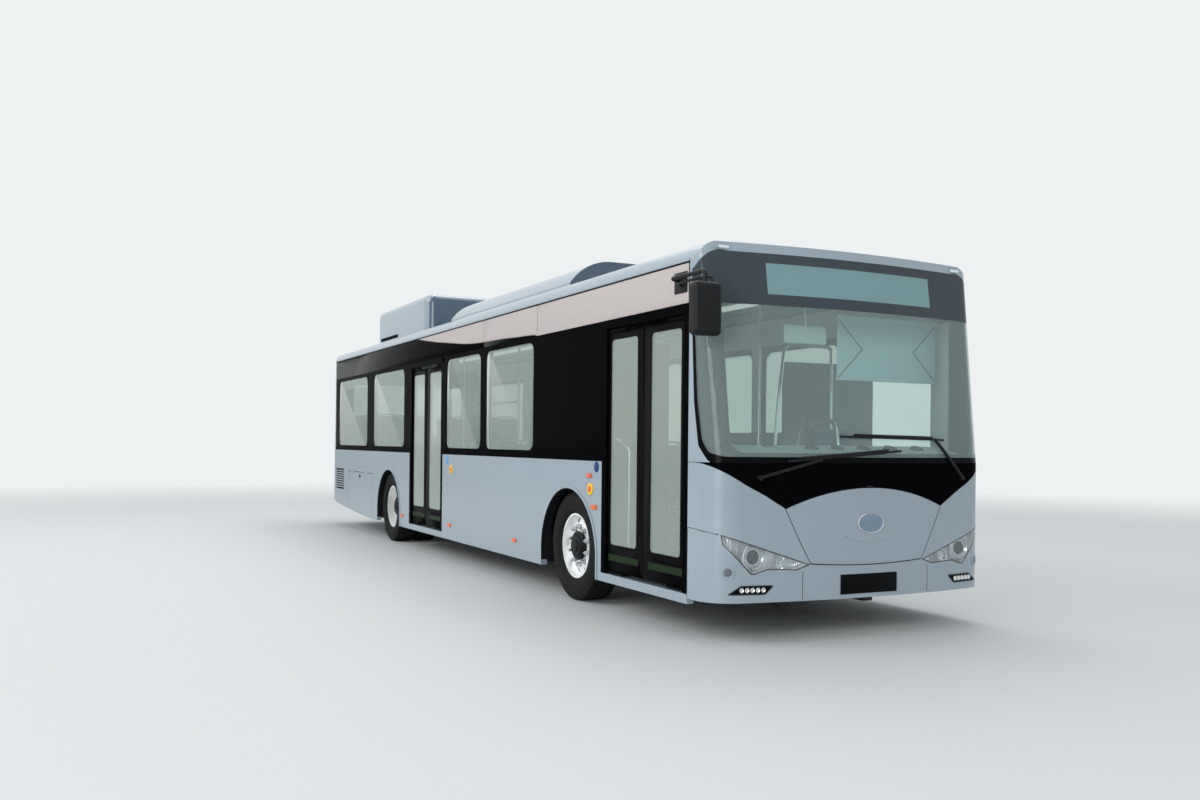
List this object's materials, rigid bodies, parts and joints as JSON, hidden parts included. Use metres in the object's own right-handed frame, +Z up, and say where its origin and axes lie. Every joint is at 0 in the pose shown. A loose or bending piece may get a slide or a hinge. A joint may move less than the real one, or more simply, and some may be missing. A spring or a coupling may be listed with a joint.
{
  "type": "low-floor electric city bus",
  "caption": "Low-floor electric city bus with hollow saloon, inward-gliding twin-leaf doors, steered front wheels, twin rear wheels and roof equipment pods.",
  "frame": {"origin": "on the road under the middle of the body's length and width", "axes": "+X forward, +Y to the left, +Z up"},
  "size_m": [11.9999, 2.93, 3.3569],
  "materials": {
    "body_paint": "gloss paint",
    "gloss_black": "gloss",
    "windscreen_glass": "clear laminated",
    "tinted_glass": "tinted",
    "lamp_clear": "clear moulded lens",
    "lamp_red": "moulded lens",
    "lamp_amber": "moulded lens",
    "black_plastic": "grained",
    "display_black": "display glass",
    "grey_plastic": "grained",
    "seat_fabric": "woven",
    "rail_steel": "satin",
    "floor_covering": "textured vinyl",
    "chassis_steel": "matt paint",
    "axle_iron": "painted casting",
    "ramp_aluminium": "chequered",
    "tyre": "rubber",
    "rim_aluminium": "satin",
    "door_frame_black": "satin black"
  },
  "bodies": {
    "body": {"roof_shell": "body_paint", "windscreen": "windscreen_glass", "windscreen_frame": "gloss_black", "front_corners": "body_paint", "wiper_panel": "gloss_black", "front_bumper": "body_paint", "headlamps": "lamp_clear", "wipers": "black_plastic", "right_lower_panels": "body_paint", "left_lower_panels": "body_paint", "right_window_band": "gloss_black", "left_window_band": "gloss_black", "body_glass": "tinted_glass", "rear_wall": "body_paint", "rear_lamps": "lamp_red", "rear_bumper": "body_paint", "floor": "floor_covering", "wheel_wells": "black_plastic", "chassis_frame": "chassis_steel", "traction_battery": "chassis_steel", "front_axle": "axle_iron", "rear_axle": "axle_iron", "door_portals": "gloss_black", "ramp": "ramp_aluminium", "roof_pod_front": "body_paint", "roof_pod_rear": "body_paint", "mirrors": "black_plastic", "destination_sign": "display_black", "dashboard": "grey_plastic", "passenger_seats": "seat_fabric", "driver_seat": "seat_fabric", "driver_partition": "grey_plastic", "handrails": "rail_steel", "side_lamps": "lamp_amber"},
    "front_service_panel": {"front_panel": "body_paint"},
    "rear_lid": {"rear_lid": "body_paint"},
    "right_flap": {"right_flap": "body_paint"},
    "steer_left": {"knuckle_left": "axle_iron"},
    "front_wheel_left": {"front_tyre_left": "tyre", "front_rim_left": "rim_aluminium"},
    "rear_wheels_left": {"rear_tyres_left": "tyre", "rear_rims_left": "rim_aluminium"},
    "steer_right": {"knuckle_right": "axle_iron"},
    "front_wheel_right": {"front_tyre_right": "tyre", "front_rim_right": "rim_aluminium"},
    "rear_wheels_right": {"rear_tyres_right": "tyre", "rear_rims_right": "rim_aluminium"},
    "front_door_post_rear": {"front_door_post_rear": "door_frame_black"},
    "front_door_leaf_rear": {"front_door_leaf_rear_frame": "door_frame_black", "front_door_leaf_rear_glass": "tinted_glass"},
    "front_door_post_front": {"front_door_post_front": "door_frame_black"},
    "front_door_leaf_front": {"front_door_leaf_front_frame": "door_frame_black", "front_door_leaf_front_glass": "tinted_glass"},
    "mid_door_post_rear": {"mid_door_post_rear": "door_frame_black"},
    "mid_door_leaf_rear": {"mid_door_leaf_rear_frame": "door_frame_black", "mid_door_leaf_rear_glass": "tinted_glass"},
    "mid_door_post_front": {"mid_door_post_front": "door_frame_black"},
    "mid_door_leaf_front": {"mid_door_leaf_front_frame": "door_frame_black", "mid_door_leaf_front_glass": "tinted_glass"}
  },
  "joints": [
    {"name": "steer_left_turn", "type": "hinge", "parent": "body", "child": "steer_left", "pos_m": [3.515, 0.95, 0.479], "axis": [0, 0, 1], "range_deg": [-42, 42]},
    {"name": "steer_right_turn", "type": "hinge", "parent": "body", "child": "steer_right", "pos_m": [3.515, -0.95, 0.479], "axis": [0, 0, 1], "range_deg": [-42, 42]},
    {"name": "front_wheel_left_spin", "type": "hinge", "parent": "steer_left", "child": "front_wheel_left", "pos_m": [3.515, 1.094, 0.479], "axis": [0, 1, 0], "continuous": true},
    {"name": "rear_wheels_left_spin", "type": "hinge", "parent": "body", "child": "rear_wheels_left", "pos_m": [-2.5, 1.094, 0.479], "axis": [0, 1, 0], "continuous": true},
    {"name": "front_wheel_right_spin", "type": "hinge", "parent": "steer_right", "child": "front_wheel_right", "pos_m": [3.515, -1.094, 0.479], "axis": [0, 1, 0], "continuous": true},
    {"name": "rear_wheels_right_spin", "type": "hinge", "parent": "body", "child": "rear_wheels_right", "pos_m": [-2.5, -1.094, 0.479], "axis": [0, 1, 0], "continuous": true},
    {"name": "front_door_post_rear_turn", "type": "hinge", "parent": "body", "child": "front_door_post_rear", "pos_m": [4.219, -1.235, 0.32], "axis": [0, 0, 1], "range_deg": [0, 80]},
    {"name": "front_door_leaf_rear_turn", "type": "hinge", "parent": "front_door_post_rear", "child": "front_door_leaf_rear", "pos_m": [4.509, -1.235, 0.35], "axis": [0, 0, 1], "range_deg": [-160, 0]},
    {"name": "front_door_post_front_turn", "type": "hinge", "parent": "body", "child": "front_door_post_front", "pos_m": [5.491, -1.235, 0.32], "axis": [0, 0, 1], "range_deg": [-80, 0]},
    {"name": "front_door_leaf_front_turn", "type": "hinge", "parent": "front_door_post_front", "child": "front_door_leaf_front", "pos_m": [5.201, -1.235, 0.35], "axis": [0, 0, 1], "range_deg": [0, 160]},
    {"name": "mid_door_post_rear_turn", "type": "hinge", "parent": "body", "child": "mid_door_post_rear", "pos_m": [-1.401, -1.235, 0.32], "axis": [0, 0, 1], "range_deg": [0, 80]},
    {"name": "mid_door_leaf_rear_turn", "type": "hinge", "parent": "mid_door_post_rear", "child": "mid_door_leaf_rear", "pos_m": [-1.111, -1.235, 0.35], "axis": [0, 0, 1], "range_deg": [-160, 0]},
    {"name": "mid_door_post_front_turn", "type": "hinge", "parent": "body", "child": "mid_door_post_front", "pos_m": [-0.129, -1.235, 0.32], "axis": [0, 0, 1], "range_deg": [-80, 0]},
    {"name": "mid_door_leaf_front_turn", "type": "hinge", "parent": "mid_door_post_front", "child": "mid_door_leaf_front", "pos_m": [-0.419, -1.235, 0.35], "axis": [0, 0, 1], "range_deg": [0, 160]},
    {"name": "front_panel_lift", "type": "hinge", "parent": "body", "child": "front_service_panel", "pos_m": [5.98, 0, 1.094], "axis": [0, -1, 0], "range_deg": [0, 75]},
    {"name": "rear_lid_lift", "type": "hinge", "parent": "body", "child": "rear_lid", "pos_m": [-5.9913, 0, 1.234], "axis": [0, 1, 0], "range_deg": [0, 80]},
    {"name": "right_flap_lift", "type": "hinge", "parent": "body", "child": "right_flap", "pos_m": [-4.13, -1.2803, 0.908], "axis": [-1, 0, 0], "range_deg": [0, 95]}
  ],
  "couplings": [
    {"joint": "steer_right_turn", "follows": "steer_left_turn", "ratio": 1},
    {"joint": "front_door_leaf_rear_turn", "follows": "front_door_post_rear_turn", "ratio": -2},
    {"joint": "front_door_post_front_turn", "follows": "front_door_post_rear_turn", "ratio": -1},
    {"joint": "front_door_leaf_front_turn", "follows": "front_door_post_rear_turn", "ratio": 2},
    {"joint": "mid_door_leaf_rear_turn", "follows": "mid_door_post_rear_turn", "ratio": -2},
    {"joint": "mid_door_post_front_turn", "follows": "mid_door_post_rear_turn", "ratio": -1},
    {"joint": "mid_door_leaf_front_turn", "follows": "mid_door_post_rear_turn", "ratio": 2}
  ]
}
